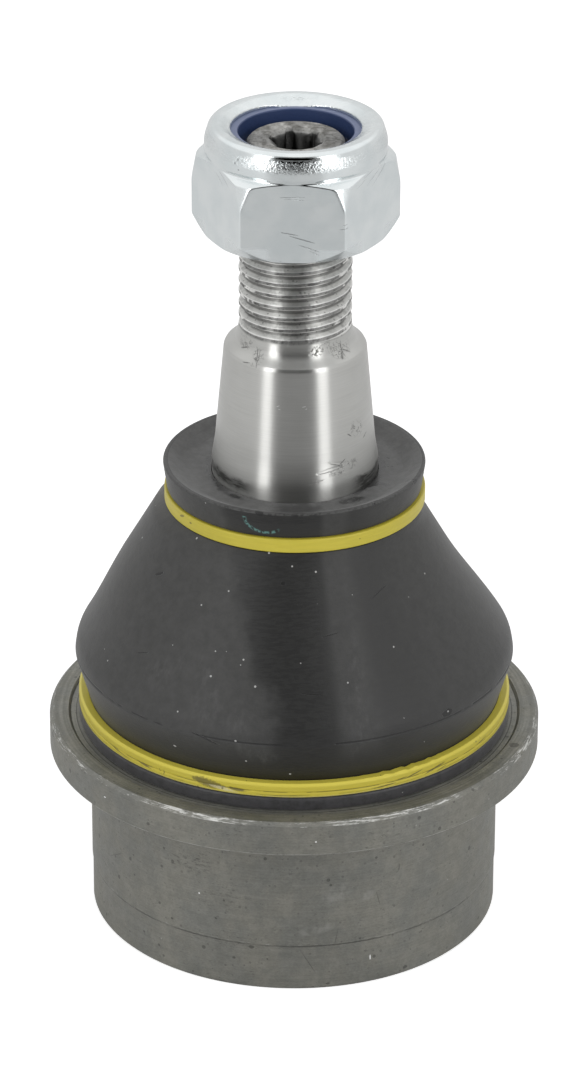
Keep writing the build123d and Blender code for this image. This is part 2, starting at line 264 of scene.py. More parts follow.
class Finish(Tree):
    """A procedural material. Lengths in it are millimetres from the frame's origin."""

    def __init__(self, name, **constants):
        self.material = bpy.data.materials.new(name)
        self.material.use_nodes = True
        super().__init__(self.material.node_tree)
        self.shader = self.tree.nodes["Principled BSDF"]
        for key, value in constants.items():
            socket = key.replace("_", " ").title().replace("Ior", "IOR")
            self.shader.inputs[socket].default_value = value
        metres = self.node("ShaderNodeTexCoord", {}, {}, "Object")
        self.place = self.node(
            "ShaderNodeVectorMath", {"operation": "SCALE"}, {0: metres, "Scale": 1 / MM})
        self.x, self.y, self.height = self.parts(self.place)
        self.radius = (self.x * self.x + self.y * self.y) ** 0.5
        self.turn = self.x.math("ARCTAN2", self.y * -1) * (180 / pi)

    def noise(self, size, detail=2.0, roughness=0.5, stretch=(1, 1, 1), seed=0.0, vector=None):
        """Noise whose features are about that many millimetres across, times the stretch."""
        factors = tuple(1 / (size * share) for share in stretch)
        place = self.scaled(vector or self.place, factors, (seed, seed / 2, seed / 3))
        return self.node("ShaderNodeTexNoise", {}, {
            "Vector": place, "Scale": 1.0, "Detail": detail, "Roughness": roughness})

    def mottle(self, size, low=0.35, high=0.65, **more):
        """Noise spread out, so that it reaches 0 and 1."""
        return self.noise(size, **more).ease(low, high)

    def turning(self, size, seed=0.0, drift=0.03):
        """Fine rings round the axis, as a lathe or a mould leaves them."""
        along = self.height + self.radius * 0.7
        rings = self.vector(self.x * drift, self.y * drift, along)
        return self.noise(size, detail=3, seed=seed, vector=rings)

    def specks(self, spacing, size, share, seed=0.0):
        """1 on scattered specks up to that many millimetres wide, in a share of the cells."""
        cells = self.scaled(self.place, (1 / spacing,) * 3, (seed,) * 3)
        away = self.node("ShaderNodeTexVoronoi", {}, {"Vector": cells, "Scale": 1.0})
        chance, growth = self.parts(Wire(self, away.socket.node.outputs["Color"]))[:2]
        reach = (growth * 0.6 + 0.4) * (size / 2 / spacing)
        return (away < reach) * (chance < share)

    def mark(self, angle, height, long, wide, tilt=0.0, soft=0.4, ragged=None, flat=False):
        """1 on a mark of that length and width, tilted up to the right.

        On a flat face, the height is the mark's distance from the axis.
        """
        turn, lean = radians(angle), radians(tilt)
        across = Vector((cos(turn), sin(turn), 0))
        outward = Vector((sin(turn), -cos(turn), 0))
        up = outward if flat else Vector((0, 0, 1))
        along_axis = (across * cos(lean) + up * sin(lean)) * (2 / long)
        aside_axis = (up * cos(lean) - across * sin(lean)) * (2 / wide)
        along = self.dot(along_axis) - height * sin(lean) * 2 / long
        aside = self.dot(aside_axis) - height * cos(lean) * 2 / wide
        away = along * along + aside * aside
        if ragged:
            away = away + (ragged - 0.5) * 2
        return away.ease(1.0, 1.0 - soft) * (self.dot(outward) > 0)

    def marks(self, *each, **shared):
        """Several marks as one."""
        found = [self.mark(*one, **shared) for one in each]
        total = found[0]
        for one in found[1:]:
            total = total.most(one)
        return total

    def dot(self, axis):
        """How far the place lies along an axis."""
        return self.node("ShaderNodeVectorMath", {"operation": "DOT_PRODUCT"}, {
            0: self.place, 1: tuple(axis)}, "Value")

    def colour(self, factor, one, other):
        """Mix of two colours, each of them a grey level, a colour or a wire."""
        def filled(paint):
            if isinstance(paint, Wire):
                return paint
            return (*paint, 1) if isinstance(paint, tuple) else (paint, paint, paint, 1)

        return self.node("ShaderNodeMix", {"data_type": "RGBA"}, {
            0: factor, 6: filled(one), 7: filled(other)}, 2)

    def shade(self, base, level):
        """A colour times a grey level."""
        grey = self.node("ShaderNodeCombineColor", {}, {0: level, 1: level, 2: level})
        return self.node("ShaderNodeMix", {"data_type": "RGBA", "blend_type": "MULTIPLY"}, {
            0: 1.0, 6: base, 7: grey}, 2)

    def ground(self, factor, one, other):
        """Starts the finish's colour as a mix of two."""
        self.base = self.colour(factor, one, other)

    def tone(self, level):
        """Makes the colour so far that many times as light."""
        self.base = self.shade(self.base, level)

    def paint(self, cover, colour):
        """Lays a colour over the colour so far, where the cover is 1."""
        self.base = self.colour(cover, self.base, colour)

    def bump(self, height, depth, normal=None):
        """Normal from a height of 0 to 1 over that many millimetres."""
        sockets = {"Height": height, "Distance": depth * MM, "Strength": 1.0}
        if normal:
            sockets["Normal"] = normal
        return self.node("ShaderNodeBump", {}, sockets)

    def give(self, **wires):
        """Links the colour and other wires to the shader, and returns the material."""
        for key, wire in {"base_color": self.base, **wires}.items():
            self.tree.links.new(wire.socket, self.shader.inputs[key.replace("_", " ").title()])
        return self.material


# Housing: pilot, press fit, flange, boss inside the boot, crown and bore

ROUND_COUNT = 320  # steps round the large pieces
FINE, COARSE = 0.35 * MM, 1.5 * MM  # longest run along a profile where it shows and inside
EDGE = 0.12 * MM  # how far a worked edge is broken
THIN_EDGE, THIN_RUN = 0.06 * MM, 0.15 * MM  # the same on the rings and the insert, and their run
FIT = 0.03 * MM  # play between pieces that touch

pilot_step = 0.1 * MM
pilot_radius = press_radius - pilot_step
pilot_top = 6.3 * MM
flange_top = recess_top + 0.3 * MM
flange_chamfer = 0.45 * MM
seat_chamfer = 0.1 * MM
base_chamfer = 0.3 * MM
recess_radius = 28.55 * MM
boss_radius = 24.37 * MM
boss_top = recess_top + 5.0 * MM
crown_radius = 19.91 * MM
mouth_angle = 52.0
bore_radius = reach_of("upper_ball_seat") + FIT
bore_base = top_of("cover_seal") + FIT
recess_slope = 0.3 * MM
seat_edge = 0.05 * MM
cover_seat_radius = reach_of("cover_plate") + FIT
lip_radius = cover_seat_radius - 2.1 * MM
lip_bevel = 1.0 * MM


def bore_arc():
    """Corners round the spherical top of the bore, from its mouth to its middle."""
    turns = [radians(mouth_angle + k * (90 - mouth_angle) / 12) for k in range(13)]
    return [(bore_radius * sin(a), ball_height + bore_radius * cos(a), 0) for a in turns]


def make_housing():
    def run(place):
        inside = place.real < boss_radius + MM and place.imag > lip_bevel / 2
        return COARSE if inside else FINE

    line = rounded([
        (lip_radius + lip_bevel, 0),
        (pilot_radius - base_chamfer, 0),
        (pilot_radius, base_chamfer),
        (pilot_radius, pilot_top - pilot_step),
        (press_radius, pilot_top),
        (press_radius, flange_base),
        (flange_radius - seat_chamfer, flange_base, seat_edge),
        (flange_radius, flange_base + seat_chamfer, seat_edge),
        (flange_radius, flange_top - flange_chamfer),
        (flange_radius - flange_chamfer, flange_top),
        (recess_radius, flange_top),
        (recess_radius - recess_slope, recess_top),
        (boss_radius, recess_top),
        (boss_radius, boss_top),
        (crown_radius, crown_top, 1.0 * MM),
        ((crown_top - ball_height) * tan(radians(mouth_angle)), crown_top),
        *bore_arc(),
        (bore_radius, bore_base),
        (cover_seat_radius, bore_base),
        (cover_seat_radius, base_of("cover_plate")),
        (lip_radius, base_of("cover_plate")),
        (lip_radius, lip_bevel),
    ], EDGE, run)
    return turned("housing_body", line, ROUND_COUNT)


# Boot: foot, cuff, crease, bell, seat of the upper ring and rim

cuff_bore = boss_radius + FIT
cuff_radius = cuff_bore + 1.55 * MM
foot_radius = cuff_radius + 1.2 * MM
crease_height = recess_top + 9.0 * MM
crease_land = 1.6 * MM
bell_top_radius = 16.0 * MM
bell_hollow = 0.14 * MM  # how far the bell's side dips below a straight line
rim_seat_radius = 15.3 * MM
rim_radius = rim_seat_radius + 1.0 * MM
rim_base = rim_top - 3.4 * MM
rim_wall = 0.6 * MM
dish_floor = rim_top - 1.3 * MM
dish_slope = 2.3 * MM
land_radius = 10.3 * MM
seal_radius = land_radius + 0.05 * MM
seal_base = dish_floor - 4.5 * MM
bell_wall = 2.0 * MM
bell_lean = 0.8 * MM
bell_inner = 13.0 * MM


def make_boot():
    bell_top = upper_ring_base - 0.05 * MM
    lean_radius = crease_radius - 0.25 * MM
    bell_base = crease_height + crease_land
    middle = ((lean_radius + bell_top_radius) / 2 - bell_hollow, (bell_base + bell_top) / 2)

    def run(place):
        inside = place.real < cuff_bore + 0.1 * MM and place.imag < seal_base + 0.1 * MM
        return COARSE if inside else FINE

    line = rounded([
        (cuff_bore, recess_top),
        (foot_radius, recess_top, 0.4 * MM),
        (foot_radius, lower_ring_base - FIT, 0.4 * MM),
        (cuff_radius, lower_ring_base - FIT),
        (cuff_radius, lower_ring_top + FIT),
        (crease_radius, crease_height, 0.25 * MM),
        (lean_radius, bell_base, 4.5 * MM),
        (*middle, 300 * MM),
        (bell_top_radius, bell_top, 0.3 * MM),
        (rim_seat_radius, bell_top),
        (rim_seat_radius, rim_base),
        (rim_seat_radius + 0.5 * MM, rim_base, 0.2 * MM),
        (rim_radius, rim_top, 0.25 * MM),
        (rim_radius - rim_wall, rim_top, 0.3 * MM),
        (rim_radius - rim_wall - dish_slope, dish_floor, 2.5 * MM),
        (seal_radius, dish_floor),
        (seal_radius, seal_base),
        (bell_top_radius - 1.73 * MM, bell_top - 1.0 * MM, 2.0 * MM),
        (crease_radius - bell_wall, crease_height, 4.5 * MM),
        (cuff_bore, boss_top),
    ], 0.08 * MM, run)

    def slumped(radius, height, angle):
        """Leans the bell a little to the left, as it sits on a turned stud."""
        rise = (height - crease_height) / (upper_ring_base - crease_height)
        lean = bell_lean * eased(rise, 0.1, 0.6) * (1 - 0.9 * eased(rise, 0.94, 0.99))
        lean *= eased(radius, bell_inner, bell_inner + MM)
        return radius - lean * np.cos(angle), height

    return turned("boot", line, ROUND_COUNT, reshape=slumped)


# Clamp rings of the boot

RING_EDGE = 0.2 * MM
lower_ring_groove = 0.72 * MM  # from its base to the line between its two turns


def make_lower_ring():
    inner = cuff_radius + FIT
    groove, groove_depth = lower_ring_base + lower_ring_groove, 0.15 * MM
    slope = 0.3 * MM
    line = rounded([
        (inner, lower_ring_base),
        (lower_ring_radius, lower_ring_base, RING_EDGE),
        (lower_ring_radius, groove - groove_depth),
        (lower_ring_radius - groove_depth, groove),
        (lower_ring_radius, groove + groove_depth),
        (lower_ring_radius, lower_ring_top - slope),
        (lower_ring_radius - slope, lower_ring_top, 0.1 * MM),
        (inner, lower_ring_top),
    ], THIN_EDGE, THIN_RUN)

    def scuffed(radius, height, angle):
        """Waves in the upper edge where a tool has pushed it over."""
        turn = np.degrees(angle) + 90
        place = np.exp(-((turn - 31) / 9) ** 2) + 0.5 * np.exp(-((turn + 26) / 5) ** 2)
        wave = np.sin(turn * 2.1) + np.sin(turn * 1.3 + 1) + 0.6 * np.sin(turn * 3.7)
        top = np.clip((height - groove) / (lower_ring_top - groove) - 0.5, 0, 1) * 2
        return radius, height + 0.09 * MM * wave * place * top

    return turned("lower_clamp_ring", line, ROUND_COUNT, reshape=scuffed)


def make_upper_ring():
    inner = rim_seat_radius + 0.05 * MM
    line = rounded([
        (inner, upper_ring_base),
        (upper_ring_radius, upper_ring_base, RING_EDGE),
        (upper_ring_radius, upper_ring_top, RING_EDGE),
        (inner, upper_ring_top),
    ], THIN_EDGE, THIN_RUN)
    return turned("upper_clamp_ring", line, ROUND_COUNT)


# Stud: ball, neck, land, taper, shoulder, thread and drive socket

ball_radius = reach_of("ball_stud")
ball_base = base_of("ball_stud")
neck_radius = 8.0 * MM
land_top = dish_floor + 2.3 * MM
taper_base_radius = taper_middle_radius + (taper_top - taper_base) / 24
taper_top_radius = taper_middle_radius - (taper_top - taper_base) / 24
land_base = seal_base - 0.6 * MM
end_chamfer = 1.15 * MM
web_radius = 2.425 * MM
bulge_radius = 1.45 * MM
socket_chamfer = 0.3 * MM
socket_cone = 30.0
SOCKET_TURN = 14.0  # degrees from X to the nearest bulge
shoulder_edge_height, shoulder_edge_reach = 0.4 * MM, 0.2 * MM
shoulder_waist_height, shoulder_waist_reach = 1.35 * MM, 0.3 * MM
thread_pitch = 1.5 * MM
thread_depth = 0.72 * MM
STUD_COUNT = 228


def socket_wall(angle):
    """Radius of the six-lobe hole at an angle."""
    offset = np.mod(angle - radians(SOCKET_TURN) + pi / 6, pi / 3) - pi / 6
    reach = web_radius + bulge_radius
    under = np.maximum(bulge_radius**2 - (reach * np.sin(offset)) ** 2, 0)
    bulge = np.where(under > 0, reach * np.cos(offset) - np.sqrt(under), 2 * lobe_radius)
    return softest(bulge, np.full_like(bulge, lobe_radius), 9 / MM)


def make_stud():
    def run(place):
        if place.imag < land_base:
            return COARSE
        if place.imag < thread_base or place.real < lobe_radius + 0.05 * MM:
            return 0.7 * MM
        return thread_pitch / (18 if place.imag < nut_base else 8)

    slope = tan(radians(socket_cone))
    flat_angle = acos((ball_height - ball_base) / ball_radius)
    neck_angle = pi - asin(neck_radius / ball_radius)
    turns = [flat_angle + k * (neck_angle - flat_angle) / 24 for k in range(25)]
    mouth = lobe_radius + socket_chamfer
    chamfer_foot = stud_end - socket_chamfer * slope
    floor = stud_end - socket_depth
    line = rounded([
        (0, ball_base, 0),
        *[(ball_radius * sin(a), ball_height - ball_radius * cos(a), 0) for a in turns],
        (neck_radius, land_base - 4.0 * MM, 4.0 * MM),
        (land_radius, land_base, 1.0 * MM),
        (land_radius, land_top - 0.5 * MM, 6.0 * MM),
        (taper_base_radius - 0.06 * MM, taper_base + 1.5 * MM, 8.0 * MM),
        (taper_top_radius, taper_top, 0.4 * MM),
        (taper_top_radius - shoulder_edge_reach, taper_top + shoulder_edge_height, 0.25 * MM),
        (thread_radius + shoulder_waist_reach, taper_top + shoulder_waist_height, 3.0 * MM),
        (thread_radius, thread_base, 0),
        (thread_radius, stud_end - end_chamfer - 0.4 * MM),
        (thread_radius - end_chamfer - 0.2 * MM, stud_end, 0.25 * MM),
        (mouth, stud_end, 0),
        (lobe_radius, chamfer_foot, 0),
        (lobe_radius, floor, 0),
        (0, floor - web_radius * slope, 0),
    ], EDGE, run)
    tip = next(k for k, spot in enumerate(line) if k and spot.real == 0)

    def lobed(radius, height, angle):
        """Presses the six lobes into what was turned as a round hole."""
        wall = socket_wall(angle)
        rim = stud_end - (mouth - wall) * slope
        hole = (radius <= mouth) & (height > floor - 3 * MM)
        on_chamfer, on_floor = hole & (height > chamfer_foot), hole & (height <= floor)
        on_wall = hole & ~on_chamfer & ~on_floor
        cut = mouth - (mouth - radius) / socket_chamfer * (mouth - wall)
        spread = radius / lobe_radius * wall
        up_wall = floor + (height - floor) / (chamfer_foot - floor) * (rim - floor)
        cone = floor - np.maximum(web_radius - spread, 0) * slope
        where = [on_chamfer, on_wall, on_floor]
        new_height = np.select(where, [stud_end - (mouth - cut) * slope, up_wall, cone], height)
        return np.select(where, [cut, wall, spread], radius), new_height

    return turned("stud", line[:tip + 1], STUD_COUNT, closed=False, reshape=lobed)


# Lock nut: hexagon, shoulder, collar rolled over the nylon insert

NUT_TURN = -2.0  # degrees
hexagon_corner = flat_reach / cos(pi / 6)
nut_face_radius = 11.2 * MM
nut_neck_radius = 10.95 * MM
nut_collar_radius = 11.12 * MM
nut_shoulder_radius = 12.1 * MM
nut_crest_radius = 10.5 * MM
insert_base, insert_top = base_of("nylon_insert"), top_of("nylon_insert")
insert_radius = reach_of("nylon_insert")
nut_bore = thread_radius + 0.05 * MM
nut_mouth_radius = 7.9 * MM
nut_bore_chamfer = 0.8 * MM
nut_base_chamfer = 1.8 * MM
nut_top_chamfer = 3.3 * MM
nut_shoulder_height = 0.6 * MM
nut_roll_height = 2.0 * MM
insert_room = 0.05 * MM
hidden_from = insert_top + 0.1 * MM
NUT_COUNT = 480


def make_nut():
    shoulder = nut_neck - nut_shoulder_height

    def run(place):
        inside = place.real < insert_radius + 0.1 * MM and place.imag < hidden_from
        return COARSE if inside else 0.2 * MM

    line = rounded([
        (nut_bore + nut_bore_chamfer, nut_base),
        (nut_face_radius, nut_base, 0.3 * MM),
        (hexagon_corner, nut_base + nut_base_chamfer, 0.6 * MM),
        (hexagon_corner, shoulder - nut_top_chamfer, 3.0 * MM),
        (nut_shoulder_radius, shoulder, 0.5 * MM),
        (nut_neck_radius, nut_neck, 0.25 * MM),
        (nut_collar_radius, nut_neck + 0.5 * MM, 0.3 * MM),
        (nut_collar_radius, nut_top - nut_roll_height, 3.6 * MM),
        (nut_crest_radius, nut_top, 0.8 * MM),
        (nut_mouth_radius + 1.1 * MM, nut_top - 0.12 * MM, 0.9 * MM),
        (nut_mouth_radius, insert_top + 0.5 * MM, 0.5 * MM),
        (nut_mouth_radius, insert_top + insert_room, 0.04 * MM),
        (insert_radius + insert_room, insert_top + insert_room),
        (insert_radius + insert_room, insert_base - insert_room),
        (nut_bore, insert_base - insert_room),
        (nut_bore, nut_base + nut_bore_chamfer),
    ], EDGE, run)

    def hexagonal(radius, height, angle):
        """Cuts the six flats, with slightly rounded corners."""
        offset = np.mod(angle - radians(NUT_TURN), pi / 3) - pi / 6
        beside = np.abs(offset) - pi / 3
        flats = softest(flat_reach / np.cos(offset), flat_reach / np.cos(beside), 30 / MM)
        outside = (radius > nut_bore + 1.5 * MM) & (height < nut_neck + 0.01 * MM)
        cut = np.where(outside, softest(radius, flats, 25 / MM), radius)
        turn = np.degrees(angle) - 90
        lip = eased(height, nut_top - 1.2 * MM, nut_top - 0.8 * MM) * (radius < nut_crest_radius)
        inner = eased(radius, nut_mouth_radius + 1.4 * MM, nut_mouth_radius + 0.8 * MM)
        folded = lip * inner * np.exp(-(turn / 20) ** 2)
        return cut - folded * 0.3 * MM, height - folded * 0.55 * MM

    return turned("lock_nut_body", line, NUT_COUNT, reshape=hexagonal)


def make_insert():
    line = rounded([
        (nut_bore, insert_base),
        (insert_radius, insert_base),
        (insert_radius, insert_top),
        (nut_bore + 0.12 * MM, insert_top),
        (nut_bore, insert_top - 0.15 * MM),
    ], THIN_EDGE, THIN_RUN)
    return turned("insert_ring", line, ROUND_COUNT)


# Thread, cut by rule

def thread_tree(finish):
    """Geometry nodes that cut a helical groove into what stands near the thread's crests."""
    group = bpy.data.node_groups.new("cut_thread", "GeometryNodeTree")
    group.interface.new_socket("Geometry", in_out="INPUT", socket_type="NodeSocketGeometry")
    for name in ("Pitch", "Depth", "Crest radius", "Start", "End", "Run out", "Wear"):
        group.interface.new_socket(name, in_out="INPUT", socket_type="NodeSocketFloat")
    group.interface.new_socket("Geometry", in_out="OUTPUT", socket_type="NodeSocketGeometry")
    tree = Tree(group)
    inputs = group.nodes.new("NodeGroupInput")
    wires = [Wire(tree, socket) for socket in inputs.outputs[:8]]
    shape, pitch, depth, crest, start, end, run_out, wear = wires
    place = tree.node("GeometryNodeInputPosition")
    x, y, height = tree.parts(place)
    radius = (x * x + y * y) ** 0.5
    turn = y.math("ARCTAN2", x) / (2 * pi)
    phase = (height / pitch - turn).math("FRACT")
    away = abs(phase - 0.5) * 2  # 1 in the groove's root, 0 on the crest
    groove = tree.node("ShaderNodeMapRange", {}, {
        "Value": away, "From Min": 0.25, "From Max": 0.82})
    along = height.ease(start, start + run_out) * height.ease(end, end - run_out * 0.5)
    nicks = tree.node("ShaderNodeTexNoise", {}, {"Vector": place, "Scale": 0.7 / MM, "Detail": 2.0})
    worn = wear * nicks.ease(0.5, 0.7) * (abs(x) / radius).ease(0.6, 0.9) * along
    cut = crest - depth * groove * along - worn - radius
    inside = (radius > crest * 0.7) * (height > start)
    move = cut.least(0.0) * inside / radius
    offset = tree.vector(x * move, y * move, 0.0)
    moved = tree.node("GeometryNodeSetPosition", {}, {"Geometry": shape, "Offset": offset})
    return end_tree(tree, moved, finish)


def end_tree(tree, shape, finish):
    """Realizes instances, sets the finish and closes the tree."""
    real = tree.node("GeometryNodeRealizeInstances", {}, {"Geometry": shape})
    dressed = tree.node("GeometryNodeSetMaterial", {}, {"Geometry": real, "Material": finish})
    outputs = tree.tree.nodes.new("NodeGroupOutput")
    tree.tree.links.new(dressed.socket, outputs.inputs[0])
    return tree.tree


def grown(piece, group, **values):
    """The piece as a plain mesh after the node group, whose inputs get the values."""
    modifier = piece.modifiers.new(group.name, "NODES")
    modifier.node_group = group
    for socket in group.interface.items_tree:
        key = socket.name.lower().replace(" ", "_")
        if socket.in_out == "INPUT" and key in values:
            modifier[socket.identifier] = values[key]
    evaluated = piece.evaluated_get(bpy.context.evaluated_depsgraph_get())
    mesh = bpy.data.meshes.new_from_object(evaluated)
    piece.modifiers.remove(modifier)
    mesh.name = piece.name
    piece.data = mesh
    return piece


# Finishes. Lengths and heights in them are millimetres, and angles are degrees.

def turned_steel():
    """Dull turned and phosphated steel, pitted, with its edges partly rubbed bright and partly painted with
    highlights.
    """
    finish = Finish("turned_steel", metallic=0.55)
    radius, turn, height = finish.radius, finish.turn, finish.height
    low, high, rim, step = flange_base / MM, flange_top / MM, flange_radius / MM, pilot_top / MM
    clouds = finish.mottle(6.0, detail=5, roughness=0.65)
    patches = finish.mottle(1.6, 0.38, 0.66, detail=4, roughness=0.7, seed=2)
    grain = finish.mottle(0.3, 0.3, 0.7, detail=3, roughness=0.7, stretch=(1, 1, 0.6), seed=3)
    rings = finish.turning(0.22)
    fine = finish.noise(0.5, detail=3, seed=6)
    finish.ground(clouds, (0.205, 0.207, 0.189), (0.245, 0.241, 0.212))
    finish.tone(0.84 + patches * 0.14 + grain * 0.16 + (rings - 0.5) * 0.3)

    top = height > high - 0.48
    recess = top * (radius < recess_radius / MM + 0.05)
    land = top * radius.ease(rim - 0.5, rim - 0.9)
    lathe = finish.mottle(0.35, 0.3, 0.7, detail=2, vector=finish.vector(radius, turn * 0.01, 0.0))
    # Painted light: the flange's top face, land and recess, is made lighter than the body, with turned streaks
    # across the land.
    finish.tone(1 + land * (lathe * 0.35 - 0.05) + recess * 0.15)
    lines = radius.band(27.5, 27.6, 0.05) + radius.band(28.2, 28.3, 0.06) * 0.7
    finish.tone(1 - recess * lines * 0.7)

    broken = finish.noise(2.5, detail=4, roughness=0.7, seed=5)
    torn = finish.noise(0.35, detail=4, roughness=0.7, stretch=(3, 3, 0.7), seed=8)
    round_axis = finish.vector(turn * 0.03, radius, height)
    drawn = finish.noise(0.13, detail=3, roughness=0.6, vector=round_axis)
    rubbed = turn.ease(-48, -28) * turn.ease(-6, -16)
    rubbed += turn.ease(4, 12) * turn.ease(50, 34) * 0.8
    rubbed += turn.band(60, 85, 6) * 0.7 + turn.band(-84, -60, 6) * 0.4
    edge = height.band(high - 0.5, high + 0.3, 0.05)
    edge *= radius.ease(rim - 0.62, rim - 0.5)
    worn = edge * (broken * 0.2 + torn * 0.3 + drawn * 0.5 + rubbed * 0.07).ease(0.545, 0.63)
    low_edge_highlight = height.band(low - 0.05, low + 0.15, 0.05)
    low_edge_highlight *= radius.ease(rim - 0.4, rim - 0.2)
    low_edge_highlight *= (broken * 0.5 + torn * 0.5).ease(0.38, 0.6)

    # Painted shade in a line just below the pilot step, also bumped as a groove, and a painted highlight just
    # above it.
    step_shade_line = height.band(step - 0.24, step + 0.05, 0.08)
    step_shade_line *= broken.ease(0.34, 0.56)
    step_highlight = height.band(step + 0.05, step + 0.22, 0.06) * torn.ease(0.48, 0.62)
    scratches = finish.marks(
        (4.2, 3.9, 4.4, 0.16, -60), (24, 12.0, 3.0, 0.12, -75), (30.5, 15.6, 1.3, 0.24, 85),
        (-60, 12, 5, 0.12, 30), (70, 9, 4, 0.12, 60), (12, 7.5, 3.0, 0.1, 80), soft=0.8)
    dashes = finish.mottle(0.3, 0.6, 0.68, detail=3, stretch=(2, 2, 0.7), roughness=0.6, seed=31)
    pits = dashes * finish.mottle(2.5, 0.45, 0.65, seed=33) * 0.7
    pits += finish.specks(0.8, 0.4, 0.8) * patches.ease(0.2, 0.7) * 0.6
    pits += finish.specks(1.9, 0.6, 0.6, seed=7) * 0.9
    pits += finish.marks(
        (-36, 7.4, 0.5, 0.4), (-11.8, 5.8, 0.8, 0.5), (-16.7, 4.0, 0.5, 0.4),
        (-21.9, 9.2, 0.4, 0.3), (33, 0.9, 0.7, 0.5), (9.7, 0.7, 0.6, 0.3), (-78.5, 25.5, 1.1, 0.8),
        ragged=fine)
    lump = finish.noise(1.2, detail=3, seed=61)
    pits += finish.mark(69, 29.4, 1.6, 1.4, flat=True, ragged=lump) * top * 2
    crowd = finish.mark(-30, 16.2, 9, 3.4, 6, soft=0.9)
    crowd += finish.mark(-20, 12, 9, 5, 20, soft=0.9) * 0.6
    dints = finish.mottle(0.45, 0.56, 0.66, detail=3, stretch=(1.8, 1.8, 0.6), seed=21)
    pits = (pits + crowd * dints * 0.8).least(1.0)
    # Pits and scratches darken the steel, and the line at the pilot step is darkened as painted shade.
    finish.tone(1 - pits * 0.45 - (scratches * 0.3).most(step_shade_line * 0.35))
    smear = finish.marks(
        (20.1, 12.5, 4.5, 1.6, 15), (12, 13.5, 5, 3, 30), (6, 8.5, 6, 1.6, 10), soft=0.9)
    smear *= finish.mottle(0.9, seed=9, detail=4)
    chips = finish.marks(
        (21.9, 3.65, 0.2, 0.8), (-27, 12.25, 0.25, 0.25), (5.05, 23.96, 0.25, 0.25),
        (-49, 24.3, 0.4, 0.2))
    dust = finish.specks(2.4, 0.26, 0.3, seed=11)
    # Painted highlight above the pilot step.
    finish.paint(step_highlight * 0.3, (0.5, 0.5, 0.47))
    finish.paint(smear * 0.16, (0.55, 0.55, 0.52))
    finish.paint(dust * 0.4, (0.5, 0.5, 0.47))
    # Bright worn edge: partly rubbed steel, partly a painted highlight.
    finish.paint(worn * 0.8, (0.75, 0.75, 0.72))
    # Painted highlight along the flange's lower edge.
    finish.paint(low_edge_highlight * 0.6, (0.55, 0.55, 0.52))
    finish.paint(chips, 0.9)
    hollow = 1 - scratches * 0.5 - step_shade_line * 0.6 - pits * 0.6
    normal = finish.bump(hollow, 0.06, finish.bump(rings, 0.008))
    normal = finish.bump(patches * 0.4 + grain * 0.6, 0.02, normal)
    return finish.give(roughness=0.46 + clouds * 0.1 - worn * 0.08, normal=normal)


